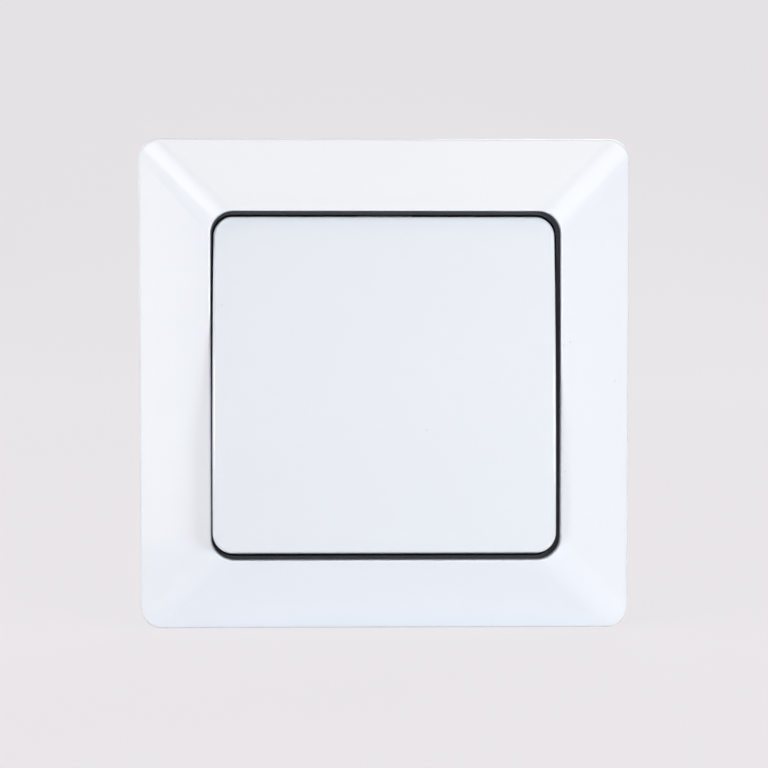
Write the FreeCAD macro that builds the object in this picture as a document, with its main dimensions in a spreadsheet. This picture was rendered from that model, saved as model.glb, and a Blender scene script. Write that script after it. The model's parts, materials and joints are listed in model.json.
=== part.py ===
import FreeCAD, Part
import os
import re

import Sketcher

# Flush push button light switch: a square cover frame with sloping faces, a tilting push key in a
# dark inner ring, a steel support plate and a moulded contact block that goes into the wall box.
# X runs to the right, Z up, and the front looks along -Y. The wall surface is the plane Y = 0.
# "Height" of a front piece is its distance in front of the wall, which is -Y.

SIZES = {
    # cover frame
    "frame_width": 81.0,
    "frame_corner": 3.4,
    "frame_edge": 2.4,
    "frame_height": 9.6,
    "frame_wall": 1.8,
    "frame_lip": 1.5,
    "land_flat": 0.1,
    "frame_round": 0.9,
    "opening_round": 0.2,
    "opening_corner": 3.7,
    "opening_shift": 0.1,
    "hollow_corner": 1.6,
    "hollow_drop": 1.0,
    "latch_width": 8.0,
    "latch_thickness": 1.2,
    "latch_length": 4.8,
    "latch_nose": 0.8,
    "latch_nose_height": 1.2,
    "latch_root": 0.5,
    "latch_place": 16.0,
    # push key
    "key_width": 55.2,
    "key_height": 54.9,
    "key_corner": 3.1,
    "key_proud": 0.44,
    "key_crown": 1.4,
    "key_thickness": 1.64,
    "key_wall": 1.6,
    "key_depth": 5.24,
    "key_round": 0.5,
    "key_gap": 0.7,
    "key_end_gap": 0.8,
    "key_play": 0.17,
    "key_tilt": 4.5,
    "hook_width": 4.0,
    "hook_thickness": 1.2,
    "hook_nose": 0.6,
    "hook_nose_height": 1.0,
    "hook_place_x": 8.0,
    "hook_place_z": 9.5,
    "hook_slack": 0.4,
    "hook_seat_gap": 0.1,
    # inner ring
    "ring_gap": 0.25,
    "ring_cover": 1.35,
    "ring_clear": 0.2,
    "ring_flange": 1.2,
    "flange_border": 2.0,
    "flange_corner": 2.5,
    "peg_inset": 4.0,
    "peg_radius": 1.5,
    "peg_fit": 0.05,
    "notch_width": 9.2,
    "notch_height": 3.2,
    # steel support plate
    "plate_margin": 3.2,
    "plate_thickness": 1.2,
    "plate_corner": 4.0,
    "box_pitch": 60.0,
    "box_hole_radius": 1.65,
    "window_width": 24.0,
    "window_height": 33.0,
    "window_corner": 2.0,
    "slot_radius": 1.7,
    "slot_run": 5.6,
    "slot_place": 17.5,
    "collar_radius": 2.6,
    "collar_length": 1.4,
    "ear_width": 4.4,
    "ear_thickness": 1.2,
    # contact block housing and its cover
    "housing_width": 38.0,
    "housing_height": 43.0,
    "housing_depth": 23.0,
    "housing_corner": 4.0,
    "housing_wall": 2.0,
    "housing_floor": 2.0,
    "housing_round": 1.5,
    "post_radius": 3.2,
    "post_inset": 3.2,
    "cover_thickness": 2.0,
    "boss_window_width": 12.0,
    "boss_window_height": 12.0,
    "cup_radius": 3.4,
    "cup_wall": 0.8,
    "cup_depth": 5.2,
    "cup_floor": 1.0,
    "bearing_radius": 2.4,
    "bearing_thickness": 2.4,
    "bearing_gap": 0.3,
    "fastener_radius": 1.3,
    "fastener_head_radius": 2.3,
    "fastener_head_height": 1.5,
    "fastener_length": 9.0,
    "fastener_fit": 0.06,
    "driver_slot_width": 0.7,
    "driver_slot_depth": 0.7,
    # rocker carrier
    "pivot_height": 5.5,
    "carrier_width": 26.0,
    "carrier_height": 30.0,
    "carrier_corner": 2.0,
    "carrier_thickness": 2.0,
    "carrier_lug_thickness": 2.4,
    "carrier_lug_height": 5.2,
    "carrier_lug_drop": 1.6,
    "trunnion_radius": 1.5,
    "trunnion_fit": 0.06,
    "boss_radius": 3.2,
    "boss_length": 10.4,
    "spigot_radius": 1.2,
    "spigot_length": 1.4,
    # plunger and springs
    "plunger_radius": 1.7,
    "plunger_fit": 0.05,
    "plunger_reach": 15.0,
    "plunger_length": 10.5,
    "plunger_round": 1.5,
    "plunger_spring_seat": 1.4,
    "plunger_spring_radius": 1.15,
    "plunger_spring_wire": 0.4,
    "plunger_spring_turns": 5.0,
    "return_spring_place": 11.0,
    "return_spring_radius": 2.0,
    "return_spring_wire": 0.5,
    "return_spring_turns": 5.0,
    "spring_seat_gap": 0.1,
    # contacts
    "plunger_gap": 0.15,
    "contact_crest": 1.0,
    "contact_thickness": 0.8,
    "contact_width": 6.0,
    "contact_arm": 6.0,
    "contact_overhang": 1.6,
    "contact_ridge_radius": 0.9,
    "contact_tilt": 7.0,
    "cradle_fit": 0.1,
    "cradle_gap": 0.3,
    "cradle_half_height": 1.8,
    "tip_radius": 1.3,
    "tip_height": 0.8,
    "tip_shank_radius": 0.8,
    "tip_fit": 0.03,
    "contact_gap": 0.1,
    "strip_thickness": 0.8,
    "strip_end_gap": 0.5,
    "rib_thickness": 1.5,
    "rib_fit": 0.2,
    # terminals
    "terminal_width": 9.0,
    "terminal_height": 6.7,
    "terminal_length": 9.0,
    "terminal_fit": 0.2,
    "wire_radius": 1.5,
    "wire_inset": 2.6,
    "wire_entry_radius": 2.2,
    "terminal_screw_radius": 1.75,
    "terminal_screw_place": 4.5,
    "terminal_screw_fit": 0.05,
    "terminal_head_radius": 2.8,
    "terminal_head_height": 1.8,
    "terminal_head_gap": 0.3,
    "driver_hole_gap": 0.4,
    # claws that spread inside the wall box
    "claw_offset": 7.0,
    "claw_pivot_y": 4.5,
    "claw_width": 10.0,
    "claw_thickness": 1.2,
    "claw_reach": 16.0,
    "claw_eye_wall": 1.1,
    "claw_lever": 6.0,
    "claw_lever_drop": 0.9,
    "claw_tooth": 2.0,
    "claw_tooth_width": 3.4,
    "claw_pin_radius": 1.0,
    "claw_pin_fit": 0.05,
    "claw_pin_head_radius": 1.7,
    "claw_pin_head_height": 0.7,
    "claw_side_gap": 0.3,
    "claw_screw_lever": 4.2,
    "claw_screw_radius": 1.7,
    "claw_screw_fit": 0.06,
    "claw_screw_head_radius": 2.5,
    "claw_screw_head_height": 1.6,
    "claw_screw_lift": 1.6,
    "claw_screw_gap": 0.2,
}

# Sizes that follow from the ones above, so that pieces which meet are cut from the same values.
DERIVED = {
    "opening_width": "key_width + 2 * key_gap",
    "opening_height": "key_height + 2 * key_end_gap",
    "frame_land": "opening_round + land_flat",
    "ring_top": "frame_height - frame_lip",
    "ring_inner_width": "key_width + 2 * ring_gap",
    "ring_inner_height": "key_height + 2 * ring_gap",
    "ring_outer_width": "opening_width + 2 * ring_cover",
    "ring_outer_height": "opening_height + 2 * ring_cover",
    "ring_inner_corner": "key_corner + ring_gap",
    "ring_outer_corner": "opening_corner + ring_cover",
    "hollow_width": "frame_width - 2 * frame_wall",
    "plate_width": "hollow_width - 2 * plate_margin",
    "peg_place": "plate_width / 2 - peg_inset",
    "flange_width": "2 * (peg_place + flange_border)",
    "latch_start": "ring_outer_width / 2 + ring_clear",
    "latch_low": "ring_top - latch_length",
    "key_face": "frame_height + key_proud",
    "key_back": "key_face - key_depth",
    "key_front_half": "sqrt((key_height / 2)^2 - (key_face - pivot_height)^2)",
    "key_front_radius": "(key_front_half^2 + key_crown^2) / (2 * key_crown)",
    "key_front_centre": "key_front_radius - key_face - key_crown",
    "carrier_top": "key_face - key_thickness",
    "carrier_bottom": "carrier_top - carrier_thickness",
    "boss_end": "carrier_bottom - boss_length",
    "cover_top": "plate_thickness + cover_thickness",
    "bearing_start": "carrier_width / 2 + bearing_gap",
    "post_x": "housing_width / 2 - post_inset",
    "post_z": "housing_height / 2 - post_inset",
    "floor_y": "housing_depth - housing_floor",
    "plunger_tip_y": "plunger_reach - pivot_height",
    "plunger_back_y": "plunger_tip_y - plunger_length",
    "bore_end": "carrier_top - plunger_spring_seat",
    "contact_front_y": "plunger_tip_y + plunger_gap",
    "contact_pivot_y": "contact_front_y + contact_crest",
    "contact_back_y": "contact_front_y + contact_thickness",
    "tip_back_y": "contact_back_y + tip_height",
    "fixed_tip_y": "contact_pivot_y + (tip_back_y - contact_pivot_y) * cos(contact_tilt * 1 deg)"
    " + (contact_arm + tip_radius) * sin(contact_tilt * 1 deg) + contact_gap",
    "strip_y": "fixed_tip_y + tip_height",
    "strip_back_y": "strip_y + strip_thickness",
    "strip_end_y": "floor_y - strip_end_gap",
    "terminal_outer": "housing_height / 2 - housing_wall - terminal_fit",
    "terminal_inner": "terminal_outer - terminal_height",
    "terminal_front_y": "floor_y - terminal_length",
    "terminal_screw_y": "floor_y - terminal_screw_place",
    "wire_z": "terminal_inner + wire_inset",
    "cup_bottom_y": "cup_depth - plate_thickness - cup_floor",
    "return_spring_top": "pivot_height + (carrier_bottom - pivot_height) * cos(key_tilt * 1 deg)"
    " + (return_spring_place - return_spring_radius) * sin(key_tilt * 1 deg)",
    "claw_pivot_x": "housing_width / 2 + claw_offset",
    "claw_screw_x": "claw_pivot_x - claw_screw_lever",
    "claw_eye_radius": "claw_pin_radius + claw_pin_fit + claw_eye_wall",
    "claw_lever_y": "claw_pivot_y + claw_lever_drop",
    "claw_arm_x": "claw_pivot_x - claw_thickness / 2",
    "claw_end_y": "claw_pivot_y + claw_reach",
    "ear_inner": "claw_width / 2 + claw_side_gap",
    "ear_outer": "ear_inner + ear_thickness",
}

SIDES = (1, -1)
CORNERS = [(x, z) for x in SIDES for z in SIDES]
WORD = re.compile(r"[a-z][a-z_]*")

doc = FreeCAD.newDocument("push_button_switch")
sheet = doc.addObject("Spreadsheet::Sheet", "Sizes")
for row, (alias, value) in enumerate(SIZES.items(), start=1):
    sheet.set(f"A{row}", alias)
    sheet.set(f"B{row}", str(value))
    sheet.setAlias(f"B{row}", alias)
doc.recompute()

pieces = []


# Helpers that tie shapes to the sheet


def formula(text):
    """The text with size names turned into sheet cells and derived names into their formulas."""

    def cell(match):
        word = match.group(0)
        if word in DERIVED:
            return f"({formula(DERIVED[word])})"
        return f"Sizes.{word}" if word in SIZES else word

    return WORD.sub(cell, str(text))


def bind(item, name, text):
    item.setExpression(name, formula(text))


def number(text):
    return float(sheet.evalExpression(formula(text)))


def new_body(label):
    body = doc.addObject("PartDesign::Body", label)
    body.Label = label
    pieces.append(body)
    return body


def new_sketch(body, plane, offset="0"):
    """A sketch on one of the body's own planes; XZ faces the front, and its offset is a height."""
    sketch = body.newObject("Sketcher::SketchObject", f"{body.Name}_{plane}_sketch")
    support = [f for f in body.Origin.OriginFeatures if f.Role == f"{plane}_Plane"]
    sketch.AttachmentSupport = [(support[0], "")]
    sketch.MapMode = "FlatFace"
    bind(sketch, "AttachmentOffset.Base.z", offset)
    return sketch


def constrain(sketch, text, *place):
    """Adds a size constraint whose value follows a formula."""
    index = sketch.addConstraint(Sketcher.Constraint(*place, number(text)))
    bind(sketch, f"Constraints[{index}]", text)


def hold(sketch, item, point, u, v):
    """Holds one point of a sketch item at the place u, v."""
    constrain(sketch, u, "DistanceX", -1, 1, item, point)
    constrain(sketch, v, "DistanceY", -1, 1, item, point)


def outline(sketch, points):
    """A closed outline of straight lines through the points."""
    corners = [FreeCAD.Vector(number(u), number(v), 0) for u, v in points]
    first = sketch.GeometryCount
    count = len(points)
    for i, corner in enumerate(corners):
        sketch.addGeometry(Part.LineSegment(corner, corners[(i + 1) % count]))
    for i, (u, v) in enumerate(points):
        before = first + (i - 1) % count
        sketch.addConstraint(Sketcher.Constraint("Coincident", before, 2, first + i, 1))
        hold(sketch, first + i, 1, u, v)
    return sketch


def rectangle(sketch, width, height, u="0", v="0"):
    left, right = f"{u} - ({width}) / 2", f"{u} + ({width}) / 2"
    low, high = f"{v} - ({height}) / 2", f"{v} + ({height}) / 2"
    return outline(sketch, [(left, low), (right, low), (right, high), (left, high)])


def round_chain(sketch, centres, radius):
    """Arcs of one radius about the centres, in order, joined by tangent lines."""
    middles = [FreeCAD.Vector(number(u), number(v), 0) for u, v in centres]
    count = len(centres)
    r = number(radius)
    out = []
    for i, middle in enumerate(middles):
        run = middles[(i + 1) % count] - middle
        run.normalize()
        out.append(FreeCAD.Vector(run.y, -run.x, 0) * r)
    first = sketch.GeometryCount
    for i, middle in enumerate(middles):
        start, end = out[i - 1], out[i]
        bulge = start + end
        if bulge.Length < r * 1e-6:
            bulge = middle - middles[(i + 1) % count]
        bulge.normalize()
        sketch.addGeometry(Part.Arc(middle + start, middle + bulge * r, middle + end))
        after = middles[(i + 1) % count]
        sketch.addGeometry(Part.LineSegment(middle + end, after + end))
    for i, (u, v) in enumerate(centres):
        arc, line, following = first + 2 * i, first + 2 * i + 1, first + 2 * ((i + 1) % count)
        hold(sketch, arc, 3, u, v)
        constrain(sketch, radius, "Radius", arc)
        sketch.addConstraint(Sketcher.Constraint("Tangent", arc, 2, line, 1))
        sketch.addConstraint(Sketcher.Constraint("Tangent", line, 2, following, 1))
    return sketch


def rounded(sketch, width, height, radius, middle="0"):
    """A rectangle with round corners about the point that lies middle to the right of the origin."""
    u, v = f"(({width}) / 2 - ({radius}))", f"(({height}) / 2 - ({radius}))"
    left, right = f"{middle} - {u}", f"{middle} + {u}"
    return round_chain(sketch, [(left, f"-{v}"), (right, f"-{v}"), (right, v), (left, v)], radius)


def circle(sketch, radius, u="0", v="0"):
    middle = FreeCAD.Vector(number(u), number(v), 0)
    item = sketch.addGeometry(Part.Circle(middle, FreeCAD.Vector(0, 0, 1), number(radius)))
    hold(sketch, item, 3, u, v)
    constrain(sketch, radius, "Radius", item)
    return sketch


def volume_of(body):
    return body.Shape.Volume if body.Tip and not body.Shape.isNull() else 0.0


def feature(body, kind, sketch, length, both=False, reverse=False):
    before = volume_of(body)
    made = body.newObject(f"PartDesign::{kind}", f"{sketch.Name}_{kind.lower()}")
    made.Profile = sketch
    bind(made, "Length", length)
    made.SideType = "Symmetric" if both else "One side"
    made.Reversed = reverse
    doc.recompute()
    if abs(volume_of(body) - before) < 1e-6:
        raise ValueError(f"{made.Name} changes nothing in {body.Label}")
    return made


def pad(body, sketch, length, both=False, reverse=False):
    """Adds along the sketch's normal: forward on XZ, to the right on YZ, up on XY."""
    return feature(body, "Pad", sketch, length, both, reverse)


def pocket(body, sketch, length, both=False, reverse=False):
    """Cuts against the sketch's normal: backward on XZ, to the left on YZ, down on XY."""
    return feature(body, "Pocket", sketch, length, both, reverse)


def loft(body, kind, lower, upper):
    made = body.newObject(f"PartDesign::{kind}", f"{lower.Name}_loft")
    made.Profile = lower
    made.Sections = [upper]
    doc.recompute()
    return made


def fillet(body, radius, wanted):
    """Rounds the edges for which wanted(edge) is true."""
    base = body.Tip
    chosen = [f"Edge{i}" for i, edge in enumerate(base.Shape.Edges, 1) if wanted(edge)]
    made = body.newObject("PartDesign::Fillet", f"{body.Name}_fillet")
    made.Base = (base, chosen)
    bind(made, "Radius", radius)
    doc.recompute()
    return made


def level(edge, y):
    """Whether an edge lies in the plane of that y."""
    box = edge.BoundBox
    return abs(box.YMin - y) < 1e-4 and abs(box.YMax - y) < 1e-4


def turn(piece, pivot_y, degrees, way):
    """Turns a piece about the X axis through y = pivot_y, by the right-hand rule where way is 1."""
    axis = FreeCAD.Vector(way, 0, 0)
    piece.Placement = FreeCAD.Placement(FreeCAD.Vector(), FreeCAD.Rotation(axis, number(degrees)))
    bind(piece, "Placement.Rotation.Angle", degrees)
    bind(piece, "Placement.Base.y", f"({pivot_y}) * (1 - cos({degrees} * 1 deg))")
    bind(piece, "Placement.Base.z", f"{-way} * ({pivot_y}) * sin({degrees} * 1 deg)")


def turn_with_key(piece):
    turn(piece, "-pivot_height", "key_tilt", -1)


def turn_with_contact(piece):
    turn(piece, "contact_pivot_y", "contact_tilt", 1)


# Front pieces


def make_cover_frame():
    """A thin square shell whose four faces slope up from a low edge to the key's opening."""
    body = new_body("cover_frame")
    edge = rounded(new_sketch(body, "XZ"), "frame_width", "frame_width", "frame_corner")
    pad(body, edge, "frame_edge")
    low = rounded(new_sketch(body, "XZ", "frame_edge"), "frame_width", "frame_width", "frame_corner")
    land = "2 * frame_land"
    high = rounded(
        new_sketch(body, "XZ", "frame_height"),
        f"opening_width + {land}",
        f"opening_height + {land}",
        "opening_corner + frame_land",
        "opening_shift",
    )
    loft(body, "AdditiveLoft", low, high)
    fillet(body, "frame_round", lambda e: level(e, -number("frame_edge")))
    shoulder = "frame_edge - hollow_drop"
    skirt = new_sketch(body, "XZ", shoulder)
    pocket(body, rounded(skirt, "hollow_width", "hollow_width", "hollow_corner"), shoulder)
    hollow = rounded(new_sketch(body, "XZ", shoulder), "hollow_width", "hollow_width", "hollow_corner")
    ceiling = rounded(
        new_sketch(body, "XZ", "ring_top"),
        "ring_outer_width + 2 * ring_clear",
        "ring_outer_height + 2 * ring_clear",
        "ring_outer_corner + ring_clear",
    )
    loft(body, "SubtractiveLoft", hollow, ceiling)
    opening = new_sketch(body, "XZ", "frame_height")
    rounded(opening, "opening_width", "opening_height", "opening_corner", "opening_shift")
    pocket(body, opening, "frame_height")
    fillet(body, "opening_round", lambda e: level(e, -number("frame_height")) and is_opening_edge(e))
    for side, end in CORNERS:
        add_frame_latch(body, side, end)


def is_opening_edge(edge):
    box = edge.BoundBox
    shift = number("opening_shift")
    reach_x = max(abs(box.XMin - shift), abs(box.XMax - shift)) - number("opening_width") / 2
    reach_z = max(abs(box.ZMin), abs(box.ZMax)) - number("opening_height") / 2
    return max(reach_x, reach_z) < 1e-3


def add_frame_latch(body, side, end):
    """A spring tongue under the frame whose nose snaps into a window of the inner ring."""
    inner, outer = f"{side} * latch_start", f"{side} * (latch_start + latch_thickness)"
    nose = f"{side} * (latch_start - latch_nose)"
    low, catch = "-latch_low", "-(latch_low + latch_nose_height)"
    root = "-(ring_top - latch_root)"
    points = [(inner, root), (outer, root), (outer, low), (inner, low), (nose, catch), (inner, catch)]
    tongue = outline(new_sketch(body, "XY", f"{end} * latch_place"), points)
    pad(body, tongue, "latch_width", both=True)


def make_inner_ring():
    """The dark ring round the key: a wall under the frame's lip on a flange that lies on the plate."""
    body = new_body("inner_ring")
    flange = new_sketch(body, "XZ", "plate_thickness")
    pad(body, rounded(flange, "flange_width", "flange_width", "flange_corner"), "ring_flange")
    wall = new_sketch(body, "XZ", "plate_thickness")
    rounded(wall, "ring_outer_width", "ring_outer_height", "ring_outer_corner")
    pad(body, wall, "ring_top - plate_thickness")
    inside = new_sketch(body, "XZ", "ring_top")
    rounded(inside, "ring_inner_width", "ring_inner_height", "ring_inner_corner", "-key_play")
    pocket(body, inside, "ring_top - plate_thickness")
    for side in SIDES:
        across = new_sketch(body, "XZ", "plate_thickness + notch_height")
        rectangle(across, "notch_width", "notch_width", f"{side} * box_pitch / 2")
        pocket(body, across, "notch_height")
        upright = new_sketch(body, "XZ", "plate_thickness + notch_height")
        rectangle(upright, "notch_width", "notch_width", "0", f"{side} * box_pitch / 2")
        pocket(body, upright, "notch_height")
        window = new_sketch(body, "YZ")
        middle = "-(latch_low + latch_nose_height / 2)"
        tall, wide = "latch_nose_height + 2 * ring_clear", "latch_width + 2 * ring_clear"
        rectangle(window, tall, wide, middle, f"{side} * latch_place")
        pocket(body, window, "2 * ring_outer_width", both=True)
    for side, end in CORNERS:
        peg = new_sketch(body, "XZ", "plate_thickness")
        circle(peg, "peg_radius", f"{side} * peg_place", f"{end} * peg_place")
        pad(body, peg, "plate_thickness", reverse=True)


def make_push_key():
    """The white key: a shallow cap whose upper and lower walls are arcs about the pivot."""
    body = new_body("push_key")
    pad(body, key_profile(new_sketch(body, "YZ")), "key_width", both=True)
    fillet(body, "key_corner", is_key_corner)
    fillet(body, "key_round", is_key_rim)
    hollow = new_sketch(body, "XZ", "key_back")
    wall = "2 * key_wall"
    rounded(hollow, f"key_width - {wall}", f"key_height - {wall}", "key_corner - key_wall")
    pocket(body, hollow, "key_depth - key_thickness", reverse=True)
    for side, end in CORNERS:
        add_key_hook(body, side, end)
    turn_with_key(body)
    bind(body, "Placement.Base.x", "-key_play")


def key_profile(sketch):
    """The key from the side: crowned front and flat back, joined by two arcs that it swings along."""
    front, back = -number("key_face"), -number("key_back")
    crown = FreeCAD.Vector(front - number("key_crown"), 0, 0)
    middle, radius = -number("pivot_height"), number("key_height") / 2
    rise = {y: (radius**2 - (y - middle) ** 2) ** 0.5 for y in (front, back)}

    def point(y, side):
        return FreeCAD.Vector(y, side * rise[y], 0)

    def arc(side):
        return Part.Arc(point(front, side), FreeCAD.Vector(middle, side * radius, 0), point(back, side))

    sketch.addGeometry(Part.Arc(point(front, 1), crown, point(front, -1)))
    hold(sketch, 0, 3, "key_front_centre", "0")
    constrain(sketch, "key_front_radius", "Radius", 0)
    sketch.addGeometry(Part.LineSegment(point(back, -1), point(back, 1)))
    for item, side in ((2, 1), (3, -1)):
        sketch.addGeometry(arc(side))
        hold(sketch, item, 3, "-pivot_height", "0")
        constrain(sketch, "key_height / 2", "Radius", item)
    joined = [(0, 1, 2, 2), (1, 2, 2, 1), (0, 2, 3, 1), (1, 1, 3, 2)]
    for place in joined:
        sketch.addConstraint(Sketcher.Constraint("Coincident", *place))
    sketch.addConstraint(Sketcher.Constraint("Vertical", 1))
    constrain(sketch, "-key_back", "DistanceX", -1, 1, 1, 1)
    return sketch


def is_key_corner(edge):
    box = edge.BoundBox
    return box.XLength < 1e-4 and box.ZLength < number("key_depth")


def is_key_rim(edge):
    """Whether an edge lies on the key's crowned front."""
    centre, radius = number("key_front_centre"), number("key_front_radius")
    start, end = edge.ParameterRange
    points = [edge.valueAt(value) for value in (start, (start + end) / 2, end)]
    return all(abs(FreeCAD.Vector(0, p.y - centre, p.z).Length - radius) < 1e-3 for p in points)


def add_key_hook(body, side, end):
    """A post behind the key that reaches through the carrier and hooks under its edge."""
    near = f"{end} * hook_place_z"
    far = f"{end} * (hook_place_z + hook_thickness)"
    nose = f"{end} * (hook_place_z + hook_thickness + hook_nose)"
    root = "-(carrier_top + key_thickness / 2)"
    catch = "-(carrier_bottom - hook_seat_gap)"
    tip = "-(carrier_bottom - hook_seat_gap - hook_nose_height)"
    points = [(root, near), (root, far), (catch, far), (catch, nose), (tip, far), (tip, near)]
    post = outline(new_sketch(body, "YZ", f"{side} * hook_place_x"), points)
    pad(body, post, "hook_width", both=True)


# Support plate with the claws


def make_support_plate():
    """A stamped steel plate with holes for the wall box's screws and ears for the claws."""
    body = new_body("support_plate")
    sheet_outline = new_sketch(body, "XZ")
    pad(body, rounded(sheet_outline, "plate_width", "plate_width", "plate_corner"), "plate_thickness")
    window = new_sketch(body, "XZ", "plate_thickness")
    pocket(body, rounded(window, "window_width", "window_height", "window_corner"), "plate_thickness")
    for side in SIDES:
        across = new_sketch(body, "XZ", "plate_thickness")
        pocket(body, circle(across, "box_hole_radius", f"{side} * box_pitch / 2"), "plate_thickness")
        upright = new_sketch(body, "XZ", "plate_thickness")
        pocket(body, circle(upright, "box_hole_radius", "0", f"{side} * box_pitch / 2"), "plate_thickness")
        collar = circle(new_sketch(body, "XZ"), "collar_radius", f"{side} * claw_screw_x")
        pad(body, collar, "collar_length", reverse=True)
        thread = new_sketch(body, "XZ", "plate_thickness")
        circle(thread, "claw_screw_radius + claw_screw_fit", f"{side} * claw_screw_x")
        pocket(body, thread, "plate_thickness + collar_length")
    for side, end in CORNERS:
        peg = new_sketch(body, "XZ", "plate_thickness")
        circle(peg, "peg_radius + peg_fit", f"{side} * peg_place", f"{end} * peg_place")
        pocket(body, peg, "plate_thickness")
        hole = new_sketch(body, "XZ", "plate_thickness")
        circle(hole, "fastener_radius + fastener_fit", f"{side} * post_x", f"{end} * post_z")
        pocket(body, hole, "plate_thickness")
        add_plate_slots(body, side, end)
        add_claw_ear(body, side, end)
    for side in SIDES:
        bore = new_sketch(body, "XY")
        circle(bore, "claw_pin_radius + claw_pin_fit", f"{side} * claw_pivot_x", "claw_pivot_y")
        pocket(body, bore, "2 * ear_outer", both=True)


def add_plate_slots(body, side, end):
    """Two round-ended slots beside a corner, one level and one upright, for boxes with other screws."""
    near, far = "slot_place - slot_run / 2", "slot_place + slot_run / 2"
    row = f"{end} * box_pitch / 2"
    level_slot = new_sketch(body, "XZ", "plate_thickness")
    ends = [f"{side} * ({near})", f"{side} * ({far})"]
    round_chain(level_slot, [(u, row) for u in (ends if side > 0 else ends[::-1])], "slot_radius")
    pocket(body, level_slot, "plate_thickness")
    column = f"{side} * box_pitch / 2"
    upright_slot = new_sketch(body, "XZ", "plate_thickness")
    ends = [f"{end} * ({near})", f"{end} * ({far})"]
    round_chain(upright_slot, [(column, v) for v in (ends if end > 0 else ends[::-1])], "slot_radius")
    pocket(body, upright_slot, "plate_thickness")


def add_claw_ear(body, side, end):
    """One of the ears bent back from the plate that carry a claw's pin."""
    middle = f"{side} * claw_pivot_x"
    inner = "ear_inner" if end > 0 else "-ear_outer"
    web = new_sketch(body, "XY", inner)
    rectangle(web, "ear_width", "claw_pivot_y + plate_thickness", middle, "(claw_pivot_y - plate_thickness) / 2")
    pad(body, web, "ear_thickness")
    head = circle(new_sketch(body, "XY", inner), "ear_width / 2", middle, "claw_pivot_y")
    pad(body, head, "ear_thickness")


def make_claw(name, side):
    """A bell crank of sheet steel: the screw pushes its lever back and its teeth swing outward."""
    body = new_body(f"claw_{name}")
    eye = circle(new_sketch(body, "XY"), "claw_eye_radius", f"{side} * claw_pivot_x", "claw_pivot_y")
    pad(body, eye, "claw_width", both=True)
    inner, outer = f"{side} * claw_arm_x", f"{side} * (claw_arm_x + claw_thickness)"
    tooth = f"{side} * (claw_arm_x + claw_thickness + claw_tooth)"
    points = [
        (inner, "claw_pivot_y"),
        (outer, "claw_pivot_y"),
        (outer, "claw_end_y - claw_tooth"),
        (tooth, "claw_end_y"),
        (f"{side} * (claw_arm_x + claw_thickness)", "claw_end_y + claw_thickness / 2"),
        (inner, "claw_end_y - claw_thickness"),
    ]
    pad(body, outline(new_sketch(body, "XY"), points), "claw_width", both=True)
    lever = outline(
        new_sketch(body, "XY"),
        [
            (f"{side} * (claw_pivot_x - claw_lever)", "claw_lever_y"),
            (f"{side} * claw_pivot_x", "claw_lever_y"),
            (f"{side} * claw_pivot_x", "claw_lever_y + claw_thickness"),
            (f"{side} * (claw_pivot_x - claw_lever)", "claw_lever_y + claw_thickness"),
        ],
    )
    pad(body, lever, "claw_width", both=True)
    bore = circle(
        new_sketch(body, "XY"), "claw_pin_radius + claw_pin_fit", f"{side} * claw_pivot_x", "claw_pivot_y"
    )
    pocket(body, bore, "2 * claw_width", both=True)
    gap = rectangle(
        new_sketch(body, "YZ"), "2 * claw_tooth", "claw_width - 2 * claw_tooth_width", "claw_end_y"
    )
    pocket(body, gap, "2 * (claw_pivot_x + claw_reach)", both=True)


def make_claw_pin(name, side):
    """The pin through a claw's eye and both ears, with a head at each end."""
    body = new_body(f"claw_pin_{name}")
    place = (f"{side} * claw_pivot_x", "claw_pivot_y")
    pad(body, circle(new_sketch(body, "XY"), "claw_pin_radius", *place), "2 * ear_outer", both=True)
    upper = circle(new_sketch(body, "XY", "ear_outer"), "claw_pin_head_radius", *place)
    pad(body, upper, "claw_pin_head_height")
    lower = circle(new_sketch(body, "XY", "-ear_outer"), "claw_pin_head_radius", *place)
    pad(body, lower, "claw_pin_head_height", reverse=True)


def make_claw_screw(name, side):
    """The screw that drives a claw: threaded through the plate's collar, its end on the lever."""
    body = new_body(f"claw_screw_{name}")
    seat = "plate_thickness + claw_screw_lift"
    head = new_sketch(body, "XZ", seat)
    pad(body, circle(head, "claw_screw_head_radius", f"{side} * claw_screw_x"), "claw_screw_head_height")
    shank = circle(new_sketch(body, "XZ", seat), "claw_screw_radius", f"{side} * claw_screw_x")
    pad(body, shank, f"{seat} + claw_lever_y - claw_screw_gap", reverse=True)
    cut = new_sketch(body, "XZ", f"{seat} + claw_screw_head_height")
    rectangle(cut, "2 * claw_screw_head_radius", "driver_slot_width", f"{side} * claw_screw_x")
    pocket(body, cut, "driver_slot_depth")


# Contact block


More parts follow.
